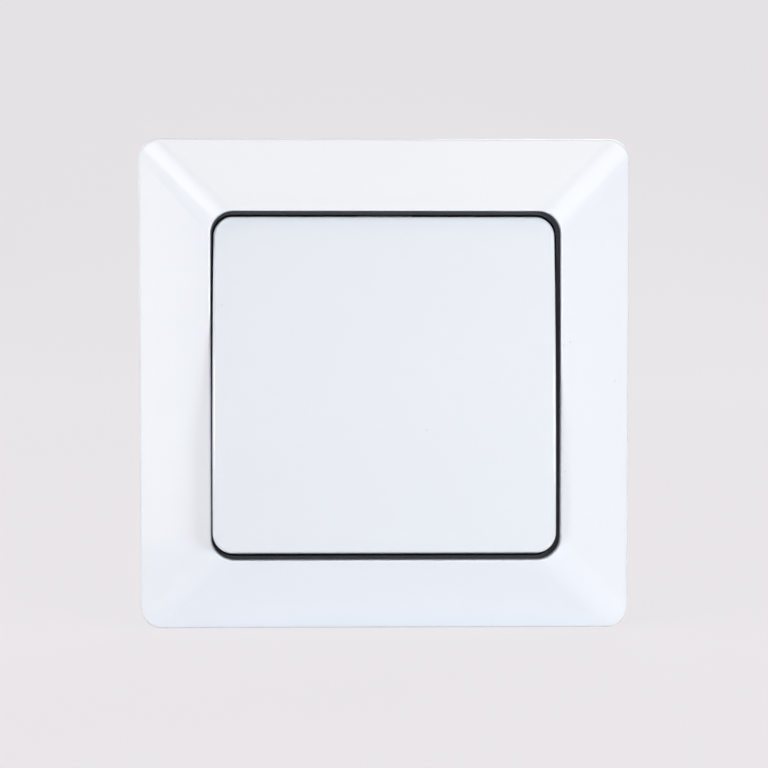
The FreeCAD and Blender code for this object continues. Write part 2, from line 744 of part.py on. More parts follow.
def make_base_housing():
    """The moulded box behind the plate, with corner posts, contact rests and terminal pockets."""
    body = new_body("base_housing")
    block = rounded(new_sketch(body, "XZ"), "housing_width", "housing_height", "housing_corner")
    pad(body, block, "housing_depth", reverse=True)
    fillet(body, "housing_round", lambda e: level(e, number("housing_depth")))
    walls = "2 * housing_wall"
    cavity = new_sketch(body, "XZ")
    rounded(cavity, f"housing_width - {walls}", f"housing_height - {walls}", "housing_corner - housing_wall")
    pocket(body, cavity, "floor_y")
    for side, end in CORNERS:
        post = circle(new_sketch(body, "XZ"), "post_radius", f"{side} * post_x", f"{end} * post_z")
        pad(body, post, "floor_y", reverse=True)
        hole = new_sketch(body, "XZ")
        circle(hole, "fastener_radius + fastener_fit", f"{side} * post_x", f"{end} * post_z")
        pocket(body, hole, "fastener_length")
        guide = new_sketch(body, "XZ", "-floor_y")
        rectangle(
            guide,
            "rib_thickness",
            "terminal_height + terminal_fit",
            f"{side} * (terminal_width / 2 + rib_fit + rib_thickness / 2)",
            f"{end} * (terminal_inner + (terminal_height + terminal_fit) / 2)",
        )
        pad(body, guide, "terminal_length")
    for place in ("0", "contact_arm"):
        rest = new_sketch(body, "XZ", "-floor_y")
        rectangle(rest, "contact_width", "2 * cradle_half_height", "0", place)
        pad(body, rest, "floor_y - strip_back_y")
    for end in SIDES:
        entry = circle(new_sketch(body, "XZ", "-floor_y"), "wire_entry_radius", "0", f"{end} * wire_z")
        pocket(body, entry, "housing_floor")
        driver = new_sketch(body, "XY", f"{end} * housing_height / 2")
        circle(driver, "terminal_head_radius + driver_hole_gap", "0", "terminal_screw_y")
        pocket(body, driver, "housing_wall", reverse=end < 0)


def make_bearing_cover():
    """The plate over the contact block, with the carrier's two bearings and a cup for its spring."""
    body = new_body("bearing_cover")
    base = new_sketch(body, "XZ", "plate_thickness")
    pad(body, rounded(base, "housing_width", "housing_height", "housing_corner"), "cover_thickness")
    cup = circle(new_sketch(body, "XZ", "plate_thickness"), "cup_radius", "0", "-return_spring_place")
    pad(body, cup, "cup_depth", reverse=True)
    well = circle(new_sketch(body, "XZ", "cover_top"), "cup_radius - cup_wall", "0", "-return_spring_place")
    pocket(body, well, "cover_thickness + cup_depth - cup_floor")
    window = rectangle(new_sketch(body, "XZ", "cover_top"), "boss_window_width", "boss_window_height")
    pocket(body, window, "cover_thickness")
    for side, end in CORNERS:
        hole = new_sketch(body, "XZ", "cover_top")
        circle(hole, "fastener_radius + fastener_fit", f"{side} * post_x", f"{end} * post_z")
        pocket(body, hole, "cover_thickness")
    for side in SIDES:
        start = "bearing_start" if side > 0 else "-(bearing_start + bearing_thickness)"
        web = new_sketch(body, "YZ", start)
        tall = "pivot_height - plate_thickness"
        rectangle(web, tall, "2 * bearing_radius", f"-(pivot_height - ({tall}) / 2)")
        pad(body, web, "bearing_thickness")
        crown = circle(new_sketch(body, "YZ", start), "bearing_radius", "-pivot_height")
        pad(body, crown, "bearing_thickness")
    bore = circle(new_sketch(body, "YZ"), "trunnion_radius + trunnion_fit", "-pivot_height")
    pocket(body, bore, "2 * housing_width", both=True)


def make_cover_screws():
    """The four screws that clamp the cover and the support plate to the housing, as one group."""
    screws = []
    for side, end in CORNERS:
        head = doc.addObject("Part::Cylinder", "cover_screw_head")
        bind(head, "Radius", "fastener_head_radius")
        bind(head, "Height", "fastener_head_height")
        bind(head, "Placement.Base.y", "-cover_top")
        shank = doc.addObject("Part::Cylinder", "cover_screw_shank")
        bind(shank, "Radius", "fastener_radius")
        bind(shank, "Height", "cover_top + fastener_length")
        bind(shank, "Placement.Base.y", "fastener_length")
        for solid in (head, shank):
            solid.Placement.Rotation = FreeCAD.Rotation(FreeCAD.Vector(1, 0, 0), 90)
            bind(solid, "Placement.Base.x", f"{side} * post_x")
            bind(solid, "Placement.Base.z", f"{end} * post_z")
        groove = doc.addObject("Part::Box", "cover_screw_slot")
        bind(groove, "Length", "2 * fastener_head_radius")
        bind(groove, "Width", "driver_slot_depth")
        bind(groove, "Height", "driver_slot_width")
        bind(groove, "Placement.Base.x", f"{side} * post_x - fastener_head_radius")
        bind(groove, "Placement.Base.y", "-(cover_top + fastener_head_height)")
        bind(groove, "Placement.Base.z", f"{end} * post_z - driver_slot_width / 2")
        blank = doc.addObject("Part::Fuse", "cover_screw_blank")
        blank.Base, blank.Tool = head, shank
        screw = doc.addObject("Part::Cut", "cover_screw")
        screw.Base, screw.Tool = blank, groove
        screws.append(screw)
    group = doc.addObject("Part::Compound", "cover_screws")
    group.Label = "cover_screws"
    group.Links = screws
    pieces.append(group)


def make_rocker_carrier():
    """The tilting carrier under the key, with two trunnions and the boss that holds the plunger."""
    body = new_body("rocker_carrier")
    base = new_sketch(body, "XZ", "carrier_bottom")
    pad(body, rounded(base, "carrier_width", "carrier_height", "carrier_corner"), "carrier_thickness")
    boss = circle(new_sketch(body, "XZ", "carrier_bottom"), "boss_radius")
    pad(body, boss, "boss_length", reverse=True)
    spigot = circle(new_sketch(body, "XZ", "carrier_bottom"), "spigot_radius", "0", "-return_spring_place")
    pad(body, spigot, "spigot_length", reverse=True)
    for side in SIDES:
        lug = new_sketch(body, "XZ", "carrier_bottom")
        middle = f"{side} * (carrier_width - carrier_lug_thickness) / 2"
        rectangle(lug, "carrier_lug_thickness", "carrier_lug_height", middle)
        pad(body, lug, "carrier_bottom - pivot_height + carrier_lug_drop", reverse=True)
        journal = circle(
            new_sketch(body, "YZ", f"{side} * (carrier_width / 2 - carrier_lug_thickness / 2)"),
            "trunnion_radius",
            "-pivot_height",
        )
        reach = "carrier_lug_thickness / 2 + bearing_gap + bearing_thickness"
        pad(body, journal, reach, reverse=side < 0)
    bore = circle(new_sketch(body, "XZ", "boss_end"), "plunger_radius + plunger_fit")
    pocket(body, bore, "bore_end - boss_end", reverse=True)
    for side, end in CORNERS:
        gate = new_sketch(body, "XZ", "carrier_top")
        tall = "hook_thickness + hook_nose + 2 * hook_slack"
        middle = f"{end} * (hook_place_z + (hook_thickness + hook_nose) / 2)"
        rectangle(gate, "hook_width + 2 * hook_slack", tall, f"{side} * hook_place_x", middle)
        pocket(body, gate, "carrier_thickness")
    turn_with_key(body)


def make_plunger():
    """The round-ended pin that the carrier drags across the contact rocker."""
    body = new_body("plunger")
    pin = circle(new_sketch(body, "XZ", "-plunger_back_y"), "plunger_radius")
    pad(body, pin, "plunger_length", reverse=True)
    fillet(body, "plunger_round", lambda e: level(e, number("plunger_tip_y")))
    turn_with_key(body)


def coil(body, start_y, length, radius, wire, turns):
    """A spring along Y that starts at start_y and runs backward."""
    section = new_sketch(body, "YZ")
    half = f"({wire}) / 2"
    turns_of_eight = [f"{45 * step} deg" for step in range(8)]
    outline(
        section,
        [(f"({start_y}) + {half} * (1 + cos({a}))", f"{radius} + {half} * sin({a})") for a in turns_of_eight],
    )
    helix = body.newObject("PartDesign::AdditiveHelix", f"{body.Name}_helix")
    helix.Profile = section
    helix.ReferenceAxis = (section, ["H_Axis"])
    helix.Mode = "height-turns-angle"
    bind(helix, "Height", f"({length}) - ({wire})")
    bind(helix, "Turns", turns)
    doc.recompute()


def make_plunger_spring():
    """The spring in the boss that keeps the plunger on the contact rocker."""
    body = new_body("plunger_spring")
    start = "-bore_end + spring_seat_gap"
    length = "plunger_back_y + bore_end - 2 * spring_seat_gap"
    coil(body, start, length, "plunger_spring_radius", "plunger_spring_wire", "plunger_spring_turns")
    turn_with_key(body)


def make_return_spring():
    """The spring in the cover's cup that lifts the lower half of the key again."""
    body = new_body("return_spring")
    start = "-return_spring_top + 2 * spring_seat_gap"
    length = "cup_bottom_y + return_spring_top - 3 * spring_seat_gap"
    coil(body, start, length, "return_spring_radius", "return_spring_wire", "return_spring_turns")
    bind(body, "Placement.Base.z", "-return_spring_place")


def make_contact_rocker():
    """The seesaw contact: a flat arm on a half-round ridge that rocks in the common strip."""
    body = new_body("contact_rocker")
    high, low = "contact_arm + contact_overhang", "-(contact_arm + contact_overhang)"
    front, back = "contact_front_y", "contact_back_y"
    arm = outline(new_sketch(body, "YZ"), [(front, low), (back, low), (back, high), (front, high)])
    pad(body, arm, "contact_width", both=True)
    ridge = circle(new_sketch(body, "YZ"), "contact_ridge_radius", "contact_pivot_y")
    pad(body, ridge, "contact_width", both=True)
    hole = circle(new_sketch(body, "XZ", "-contact_front_y"), "tip_shank_radius + tip_fit", "0", "contact_arm")
    pocket(body, hole, "contact_thickness")
    turn_with_contact(body)


def make_moving_contact_tip():
    """The silver rivet in the contact rocker's upper arm."""
    body = new_body("moving_contact_tip")
    head = circle(new_sketch(body, "XZ", "-contact_back_y"), "tip_radius", "0", "contact_arm")
    pad(body, head, "tip_height", reverse=True)
    shank = circle(new_sketch(body, "XZ", "-contact_back_y"), "tip_shank_radius", "0", "contact_arm")
    pad(body, shank, "contact_thickness")
    turn_with_contact(body)


def make_common_strip():
    """The brass strip from the lower terminal up to the cradle that the contact rocker sits in."""
    body = new_body("common_strip")
    tail = "-terminal_inner"
    inside = "-(terminal_inner - strip_thickness)"
    top, foot = "cradle_half_height", "-cradle_half_height"
    seat = "contact_pivot_y + cradle_gap"
    points = [
        ("strip_end_y", tail),
        ("strip_end_y", inside),
        ("strip_back_y", inside),
        ("strip_back_y", top),
        (seat, top),
        (seat, foot),
        ("strip_y", foot),
        ("strip_y", tail),
    ]
    pad(body, outline(new_sketch(body, "YZ"), points), "contact_width", both=True)
    groove = circle(new_sketch(body, "YZ"), "contact_ridge_radius + cradle_fit", "contact_pivot_y")
    pocket(body, groove, "2 * contact_width", both=True)


def make_fixed_strip():
    """The brass strip from the upper terminal down to the fixed contact."""
    body = new_body("fixed_strip")
    tail = "terminal_inner"
    inside = "terminal_inner - strip_thickness"
    foot = "contact_arm - tip_radius - strip_thickness"
    points = [
        ("strip_end_y", tail),
        ("strip_end_y", inside),
        ("strip_back_y", inside),
        ("strip_back_y", foot),
        ("strip_y", foot),
        ("strip_y", tail),
    ]
    pad(body, outline(new_sketch(body, "YZ"), points), "contact_width", both=True)
    hole = circle(new_sketch(body, "XZ", "-strip_y"), "tip_shank_radius + tip_fit", "0", "contact_arm")
    pocket(body, hole, "strip_thickness")


def make_fixed_contact_tip():
    """The silver rivet on the fixed strip."""
    body = new_body("fixed_contact_tip")
    head = circle(new_sketch(body, "XZ", "-strip_y"), "tip_radius", "0", "contact_arm")
    pad(body, head, "tip_height")
    shank = circle(new_sketch(body, "XZ", "-strip_y"), "tip_shank_radius", "0", "contact_arm")
    pad(body, shank, "strip_thickness", reverse=True)


def make_terminal(name, end):
    """A brass terminal block: the wire comes in from behind and the screw from the block's end."""
    body = new_body(f"{name}_terminal")
    middle = f"{end} * (terminal_inner + terminal_height / 2)"
    block = rectangle(new_sketch(body, "XZ", "-floor_y"), "terminal_width", "terminal_height", "0", middle)
    pad(body, block, "terminal_length")
    wire = circle(new_sketch(body, "XZ", "-terminal_front_y"), "wire_radius", "0", f"{end} * wire_z")
    pocket(body, wire, "terminal_length")
    thread = new_sketch(body, "XY", f"{end} * terminal_outer")
    circle(thread, "terminal_screw_radius + terminal_screw_fit", "0", "terminal_screw_y")
    pocket(body, thread, "terminal_outer - wire_z", reverse=end < 0)


def make_terminal_screw(name, end):
    """A terminal's screw, its end just clear of the wire hole."""
    body = new_body(f"{name}_terminal_screw")
    seat = "terminal_outer + terminal_head_gap"
    head = circle(new_sketch(body, "XY", f"{end} * ({seat})"), "terminal_head_radius", "0", "terminal_screw_y")
    pad(body, head, "terminal_head_height", reverse=end < 0)
    shank = circle(new_sketch(body, "XY", f"{end} * ({seat})"), "terminal_screw_radius", "0", "terminal_screw_y")
    pad(body, shank, f"{seat} - wire_z - wire_radius - terminal_screw_fit", reverse=end > 0)
    cut = new_sketch(body, "XY", f"{end} * ({seat} + terminal_head_height)")
    rectangle(cut, "2 * terminal_head_radius", "driver_slot_width", "0", "terminal_screw_y")
    pocket(body, cut, "driver_slot_depth", reverse=end < 0)


def check_and_export():
    """Stops on a failed feature or solid, then writes each piece to its own file."""
    doc.recompute()
    for item in doc.Objects:
        if "Invalid" in item.State or "Error" in item.State:
            raise ValueError(f"{item.Name} failed: {item.State}")
    os.makedirs("parts", exist_ok=True)
    for piece in pieces:
        shape = piece.Shape
        if shape.isNull() or not shape.isValid() or not shape.Solids:
            raise ValueError(f"{piece.Label} has no valid solid")
        shape.exportStep(f"parts/{piece.Label}.step")
        print(f"{piece.Label}: {len(shape.Solids)} solid, {shape.Volume:.1f} mm3")


make_cover_frame()
make_inner_ring()
make_push_key()
make_support_plate()
make_base_housing()
make_bearing_cover()
make_cover_screws()
make_rocker_carrier()
make_plunger()
make_plunger_spring()
make_return_spring()
make_contact_rocker()
make_moving_contact_tip()
make_common_strip()
make_fixed_strip()
make_fixed_contact_tip()
for name, end in (("line", 1), ("load", -1)):
    make_terminal(name, end)
    make_terminal_screw(name, end)
for name, side in (("right", 1), ("left", -1)):
    make_claw(name, side)
    make_claw_pin(name, side)
    make_claw_screw(name, side)
check_and_export()
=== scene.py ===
"""Looks of the flush push button switch: finishes, screws, springs, contact block, light and camera."""

import json
import math

import bmesh
import bpy
from mathutils import Matrix, Vector


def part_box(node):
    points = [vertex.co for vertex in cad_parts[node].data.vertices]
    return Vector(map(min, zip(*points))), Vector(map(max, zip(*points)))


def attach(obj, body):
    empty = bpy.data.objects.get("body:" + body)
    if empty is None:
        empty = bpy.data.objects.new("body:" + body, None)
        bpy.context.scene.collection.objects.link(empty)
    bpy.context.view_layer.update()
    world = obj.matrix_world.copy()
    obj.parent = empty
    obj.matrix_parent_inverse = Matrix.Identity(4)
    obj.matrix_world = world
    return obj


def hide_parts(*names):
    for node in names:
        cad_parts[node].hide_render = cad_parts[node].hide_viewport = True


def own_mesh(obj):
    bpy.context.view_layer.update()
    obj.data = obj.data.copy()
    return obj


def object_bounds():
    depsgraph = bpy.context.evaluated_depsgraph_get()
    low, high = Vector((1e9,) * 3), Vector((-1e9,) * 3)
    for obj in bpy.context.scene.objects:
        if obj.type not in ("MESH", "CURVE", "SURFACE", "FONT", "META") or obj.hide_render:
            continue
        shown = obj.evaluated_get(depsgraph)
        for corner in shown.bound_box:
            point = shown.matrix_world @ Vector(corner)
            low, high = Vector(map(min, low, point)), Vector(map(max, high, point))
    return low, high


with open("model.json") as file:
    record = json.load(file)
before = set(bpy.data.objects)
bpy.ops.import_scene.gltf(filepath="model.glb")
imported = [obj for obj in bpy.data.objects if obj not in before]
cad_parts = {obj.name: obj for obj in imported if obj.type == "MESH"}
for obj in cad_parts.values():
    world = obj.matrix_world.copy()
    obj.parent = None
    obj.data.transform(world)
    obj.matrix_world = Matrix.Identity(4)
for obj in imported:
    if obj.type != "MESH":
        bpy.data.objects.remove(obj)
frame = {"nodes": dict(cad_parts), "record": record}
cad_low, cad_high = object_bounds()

MM = 0.001
PALE = (0.80, 0.777, 0.80, 1)


# Materials


class Field:
    """A value that varies over a surface; sums of fields add the nodes that work them out."""

    def __init__(self, nodes, socket):
        self.nodes = nodes
        self.socket = socket

    def other(self, output):
        """Another output of the same node."""
        return Field(self.nodes, self.socket.node.outputs[output])

    def _sum(self, operation, first, second):
        return self.nodes.node("ShaderNodeMath", {"operation": operation}, {0: first, 1: second})

    def __add__(self, other):
        return self._sum("ADD", self, other)

    def __radd__(self, other):
        return self._sum("ADD", other, self)

    def __mul__(self, other):
        return self._sum("MULTIPLY", self, other)

    def __rmul__(self, other):
        return self._sum("MULTIPLY", other, self)

    def __lt__(self, other):
        return self._sum("LESS_THAN", self, other)

    def __gt__(self, other):
        return self._sum("GREATER_THAN", self, other)


class Nodes:
    """A node tree whose nodes all come from one method."""

    def __init__(self, tree):
        self.tree = tree

    def feed(self, socket, value):
        """Links a field to a socket, or sets a fixed value on it."""
        if isinstance(value, Field):
            self.tree.links.new(value.socket, socket)
        else:
            socket.default_value = value

    def node(self, kind, settings=None, sockets=None, output=0):
        """Adds a node, with its settings first and then its sockets, and gives one of its outputs."""
        made = self.tree.nodes.new(kind)
        for name, value in (settings or {}).items():
            setattr(made, name, value)
        for name, value in (sockets or {}).items():
            self.feed(made.inputs[name], value)
        return Field(self, made.outputs[output])

    def seen(self):
        """One where the eye, a mirror or glass looks, and zero where only light falls."""
        camera = self.node("ShaderNodeLightPath", output="Is Camera Ray")
        return (camera + camera.other("Is Glossy Ray") + camera.other("Is Transmission Ray")) > 0.5


class Finish(Nodes):
    """A material whose shader takes fixed values at once and fields through its nodes."""

    def __init__(self, name, fixed):
        self.material = bpy.data.materials.new(name)
        self.material.use_nodes = True
        super().__init__(self.material.node_tree)
        self.shader = self.tree.nodes["Principled BSDF"]
        for socket, value in fixed.items():
            self.give(socket, value)

    def give(self, socket, value):
        """Feeds one of the shader's own sockets."""
        self.feed(self.shader.inputs[socket], value)

    def place(self, stretch=(1, 1, 1)):
        """Where a point lies on its piece, in metres, drawn out along each axis."""
        spot = self.node("ShaderNodeTexCoord", output="Object")
        return self.node("ShaderNodeMapping", {}, {"Vector": spot, "Scale": stretch})

    def noise(self, size, detail=2.0, stretch=(1, 1, 1)):
        """Cloudy variation with features of about that size in metres, from 0 to 1."""
        sockets = {"Vector": self.place(stretch), "Scale": 1 / size, "Detail": detail}
        return self.node("ShaderNodeTexNoise", {}, sockets)

    def specks(self, spacing, radius, share):
        """Round specks of that radius, one to a cell of that spacing, in a share of the cells."""
        cell = self.node("ShaderNodeTexVoronoi", {}, {"Vector": self.place(), "Scale": 1 / spacing})
        chance = self.node("ShaderNodeSeparateColor", {}, {"Color": cell.other("Color")})
        return (cell < radius / spacing) * (chance < share)

    def dots(self, places, radius):
        """Specks of that radius at places given as x and z, as seen from the front."""
        flat = self.place((1, 0, 1))

        def away(x, z):
            settings = {"operation": "DISTANCE"}
            return self.node("ShaderNodeVectorMath", settings, {0: flat, 1: (x, 0, z)}, output="Value")

        return sum(away(x, z) < radius for x, z in places)

    def mix(self, share, first, second):
        """The first colour where the share is 0 and the second where it is 1."""
        settings = {"data_type": "RGBA"}
        return self.node("ShaderNodeMix", settings, {0: share, 6: first, 7: second}, output=2)

    def bump(self, height, depth, edge=None):
        """Raises the surface by height times depth; edge is the radius that sharp edges seem to have."""
        sockets = {"Height": height, "Distance": depth, "Strength": 1.0}
        if edge:
            sockets["Normal"] = self.node("ShaderNodeBevel", {"samples": 6}, {"Radius": edge})
        self.give("Normal", self.node("ShaderNodeBump", {}, sockets))


# The last factor darkens the key's copy of the white moulding: painted shade on a key of the same
# plastic as the frame.
COOL_WHITE, WARM_WHITE, KEY_PAINTED_SHADE = (0.80, 0.825, 0.865), (0.82, 0.842, 0.877), 0.9
DUST_PLACES = [(0.0066, -0.0070), (-0.0263, 0.0131)]
DUST_PLACES += [(0.0380, 0.0006), (0.0289, 0.0066), (0.0300, 0.0071), (0.0292, -0.0139)]
DUST_RADIUS, DUST_STRENGTH, DUST_TONE = 0.2 * MM, 0.2, (0.42, 0.42, 0.43, 1)
LINT_SPACING, LINT_RADIUS, LINT_SHARE, LINT_STRENGTH = 11 * MM, 0.16 * MM, 0.3, 0.08


def white_plastic(name, shade=1.0):
    """Glossy white moulding: faint cool tone, barely uneven gloss and the odd speck of dust; a shade
    below 1 darkens the colour as painted shade.
    """
    finish = Finish(name, {"IOR": 1.5})
    cool, warm = [(*(shade * part for part in tone), 1) for tone in (COOL_WHITE, WARM_WHITE)]
    tone = finish.mix(finish.noise(50 * MM), cool, warm)
    dust = DUST_STRENGTH * finish.dots(DUST_PLACES, DUST_RADIUS)
    lint = LINT_STRENGTH * finish.specks(LINT_SPACING, LINT_RADIUS, LINT_SHARE)
    finish.give("Base Color", finish.mix(dust + lint, tone, DUST_TONE))
    finish.give("Roughness", 0.12 + 0.06 * finish.noise(12 * MM, 4.0))
    finish.bump(finish.noise(1.1 * MM, 1.0), 0.003 * MM)
    return finish.material


def dark_plastic():
    """Charcoal ring with a fine eroded texture."""
    finish = Finish("dark_plastic", {"IOR": 1.48, "Specular IOR Level": 0.25})
    tone = finish.mix(finish.noise(4 * MM), (0.026, 0.028, 0.034, 1), (0.034, 0.036, 0.043, 1))
    finish.give("Base Color", tone)
    finish.give("Roughness", 0.36 + 0.12 * finish.noise(1.2 * MM, 3.0))
    finish.bump(finish.noise(0.35 * MM, 2.0), 0.02 * MM)
    return finish.material


def grey_plastic():
    """Grey moulding compound of the contact block, with short pale fibres at its surface."""
    finish = Finish("grey_plastic", {"IOR": 1.5})
    fibres = finish.noise(0.7 * MM, 3.0, (1, 1, 0.25))
    cloud = finish.mix(finish.noise(15 * MM), (0.5, 0.51, 0.52, 1), (0.58, 0.59, 0.6, 1))
    finish.give("Base Color", finish.mix((fibres > 0.66) * 0.35, cloud, (0.72, 0.73, 0.73, 1)))
    finish.give("Roughness", 0.45 + 0.2 * finish.noise(1.5 * MM, 3.0))
    finish.bump(finish.noise(0.4 * MM, 2.0), 0.015 * MM, edge=0.25 * MM)
    return finish.material


def natural_plastic():
    """Slightly waxy natural plastic of the carrier and plunger."""
    finish = Finish("natural_plastic", {"IOR": 1.5})
    tone = finish.mix(finish.noise(6 * MM), (0.66, 0.65, 0.6, 1), (0.74, 0.73, 0.69, 1))
    finish.give("Base Color", tone)
    finish.give("Roughness", 0.34 + 0.12 * finish.noise(2 * MM, 3.0))
    finish.bump(finish.noise(0.6 * MM, 2.0), 0.008 * MM)
    return finish.material


def zinc_steel():
    """Rolled and zinc plated sheet: fine streaks, a faint passivated tint and duller clouds."""
    finish = Finish("zinc_steel", {"Metallic": 1.0})
    streaks = finish.noise(0.6 * MM, 4.0, (1, 1, 0.06))
    cloud = finish.noise(11 * MM, 3.0)
    plated = finish.mix(cloud, (0.56, 0.575, 0.6, 1), (0.66, 0.655, 0.63, 1))
    finish.give("Base Color", finish.mix(0.5 * streaks, plated, (0.47, 0.48, 0.5, 1)))
    finish.give("Roughness", 0.26 + 0.16 * streaks + 0.1 * cloud)
    finish.bump(streaks, 0.006 * MM, edge=0.15 * MM)
    return finish.material


def drawn_wire():
    """Bright drawn spring wire."""
    finish = Finish("drawn_wire", {"Metallic": 1.0})
    tone = finish.mix(finish.noise(1 * MM), (0.42, 0.42, 0.44, 1), (0.58, 0.58, 0.59, 1))
    finish.give("Base Color", tone)
    finish.give("Roughness", 0.25 + 0.2 * finish.noise(0.5 * MM, 3.0))
    finish.bump(finish.noise(0.2 * MM, 2.0), 0.004 * MM)
    return finish.material


def stamped_brass():
    """Brass with stamping lines and a little tarnish."""
    finish = Finish("stamped_brass", {"Metallic": 1.0})
    tarnish = finish.noise(4 * MM, 4.0)
    lines = finish.noise(0.5 * MM, 3.0, (0.1, 1, 1))
    finish.give("Base Color", finish.mix(tarnish, (0.74, 0.53, 0.24, 1), (0.62, 0.43, 0.2, 1)))
    finish.give("Roughness", 0.24 + 0.12 * lines + 0.12 * tarnish)
    finish.bump(lines, 0.005 * MM, edge=0.15 * MM)
    return finish.material


def contact_silver():
    """Satin silver of the contact rivets."""
    finish = Finish("contact_silver", {"Metallic": 1.0})
    tone = finish.mix(finish.noise(0.8 * MM), (0.78, 0.77, 0.74, 1), (0.86, 0.85, 0.83, 1))
    finish.give("Base Color", tone)
    finish.give("Roughness", 0.28 + 0.14 * finish.noise(0.4 * MM, 3.0))
    finish.bump(finish.noise(0.2 * MM, 2.0), 0.004 * MM)
    return finish.material


FINISHES = {
    "white_plastic": white_plastic("white_plastic"),
    # The key's copy of the same white plastic, darkened as painted shade.
    "white_key_painted_shade": white_plastic("white_key_painted_shade", KEY_PAINTED_SHADE),
    "dark_plastic": dark_plastic(),
    "grey_plastic": grey_plastic(),
    "carrier_plastic": natural_plastic(),
    "zinc_steel": zinc_steel(),
    "spring_steel": drawn_wire(),
    "brass": stamped_brass(),
    "silver_contact": contact_silver(),
}
NODE_SLOT = {row["node"]: row["material_slot"] for row in frame["record"]["subparts"]}


def dress(piece, finish):
    """Gives a piece one finish in place of what it has."""
    piece.data.materials.clear()
    piece.data.materials.append(FINISHES[finish])


for name, node in frame["nodes"].items():
    dress(node, NODE_SLOT[name])
# The key takes the darkened copy of the white plastic: painted shade.
dress(frame["nodes"]["push_key"], "white_key_painted_shade")


# Shaping


SHARP_ANGLE = math.radians(35)
CONE_SIDES = 48


def add_object(name, mesh):
    """Turns mesh code into an object, smooth but for its sharp edges."""
    data = bpy.data.meshes.new(name)
    mesh.to_mesh(data)
    mesh.free()
    data.shade_smooth()
    data.set_sharp_from_angle(angle=SHARP_ANGLE)
    made = bpy.data.objects.new(name, data)
    bpy.context.scene.collection.objects.link(made)
    return made


def stand_for(piece, node, body):
    """Lets a piece take a CAD node's place, finish and motion."""
    dress(piece, NODE_SLOT[node])
    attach(piece, body)
    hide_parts(node)


def carved(mesh, cutter):
    """The mesh with the cutter's shapes taken away; those shapes lie apart from each other."""
    body, tool = add_object("uncut", mesh), add_object("cutter", cutter)
    cut = body.modifiers.new("cut", "BOOLEAN")
    cut.operation, cut.solver, cut.object = "DIFFERENCE", "EXACT", tool
    worked = bpy.context.evaluated_depsgraph_get()
    shaped = bpy.data.meshes.new_from_object(body.evaluated_get(worked))
    result = bmesh.new()
    result.from_mesh(shaped)
    for spent in (body, tool):
        bpy.data.objects.remove(spent)
    bpy.data.meshes.remove(shaped)
    return result


def add_block(mesh, low, high):
    """Adds a box between two corners."""
    low, high = Vector(low), Vector(high)
    shape = Matrix.Translation((low + high) / 2) @ Matrix.Diagonal((*(high - low), 1))
    bmesh.ops.create_cube(mesh, size=1.0, matrix=shape)


def add_cone(mesh, place, near_radius, far_radius, depth):
    """Adds a cone that starts at place and runs forward, which is towards -Y."""
    middle = Vector(place) - Vector((0, depth / 2, 0))
    shape = Matrix.Translation(middle) @ Matrix.Rotation(math.radians(90), 4, "X")
    sizes = {"radius1": near_radius, "radius2": far_radius, "depth": depth}
    bmesh.ops.create_cone(mesh, cap_ends=True, segments=CONE_SIDES, matrix=shape, **sizes)


def add_turned(mesh, rows, sides):
    """Adds a closed body about Z from rows of a height and a radius, which may vary with the angle."""
    angles = [2 * math.pi * side / sides for side in range(sides)]
    rings = []
    for height, radius in rows:
        reach = [radius(height, angle) if callable(radius) else radius for angle in angles]
        ring = [(r * math.cos(a), r * math.sin(a), height) for r, a in zip(reach, angles)]
        rings.append([mesh.verts.new(point) for point in ring])
    for lower, upper in zip(rings, rings[1:]):
        for side in range(sides):
            after = (side + 1) % sides
            mesh.faces.new((lower[side], lower[after], upper[after], upper[side]))
    mesh.faces.new(reversed(rings[0]))
    mesh.faces.new(rings[-1])


# Screws


HEAD_SIDES, HEAD_CHAMFER = 40, 0.1 * MM
EDGE_HEIGHT, EDGE_SPREAD, EDGE_STEPS = 0.35, 1.4, 6
CROSS_REACH, CROSS_WIDTH, CROSS_FLOOR = 0.62, 0.17, 0.35
SHANK_SIDES, ROWS_PER_TURN = 28, 10
FLANK_DEPTH, FLANK_SLOPE = 0.5, 1.25
POINT_TURNS, POINT_SLOPE = 1.5, 0.45
CLAW_HEAD, CLAW_RADIUS, CLAW_PITCH = 1.6 * MM, 1.7 * MM, 0.7 * MM
CLAW_TURNS = (("left", 24), ("right", 67))
COVER_HEAD, COVER_HEAD_RADIUS = 1.5 * MM, 2.3 * MM
COVER_RADIUS, COVER_PITCH = 1.3 * MM, 0.6 * MM
COVER_TURNS = (47, 84, 121, 158)
CLAMP_HEAD, CLAMP_RADIUS, CLAMP_PITCH = 1.8 * MM, 1.75 * MM, 0.7 * MM
CLAMP_TURNS = (("line", 1, 31), ("load", -1, 78))
FORWARD = (0, -1, 0)


def screw_head(radius, height):
    """A pan head with a driver cross, its underside at 0 and its top at height."""
    edge = EDGE_HEIGHT * height
    rows = [(0, radius - HEAD_CHAMFER), (HEAD_CHAMFER, radius), (height - edge, radius)]
    for step in range(1, EDGE_STEPS + 1):
        turn = math.radians(90 * step / EDGE_STEPS)
        inward = EDGE_SPREAD * edge * (1 - math.cos(turn))
        rows.append((height - edge + edge * math.sin(turn), radius - inward))
    head = bmesh.new()
    add_turned(head, rows, HEAD_SIDES)
    reach, width, floor = CROSS_REACH * radius, CROSS_WIDTH * radius, CROSS_FLOOR * height
    for across, along in ((reach, width), (width, reach)):
        bar = bmesh.new()
        add_block(bar, (-across, -along, floor), (across, along, 2 * height))
        head = carved(head, bar)
    return head


def add_shank(mesh, radius, length, pitch):
    """Adds a threaded shank from the head's underside down to a tip at -length."""

    def thread(height, angle):
        turn = (height / pitch - angle / (2 * math.pi)) % 1.0
        flank = FLANK_DEPTH * pitch * min(1.0, FLANK_SLOPE * abs(2 * turn - 1))
        point = POINT_SLOPE * max(0.0, POINT_TURNS * pitch - (height + length))
        return radius - flank - point

    count = round(ROWS_PER_TURN * length / pitch)
    rows = [(-length + length * step / count, thread) for step in range(count + 1)]
    add_turned(mesh, rows, SHANK_SIDES)


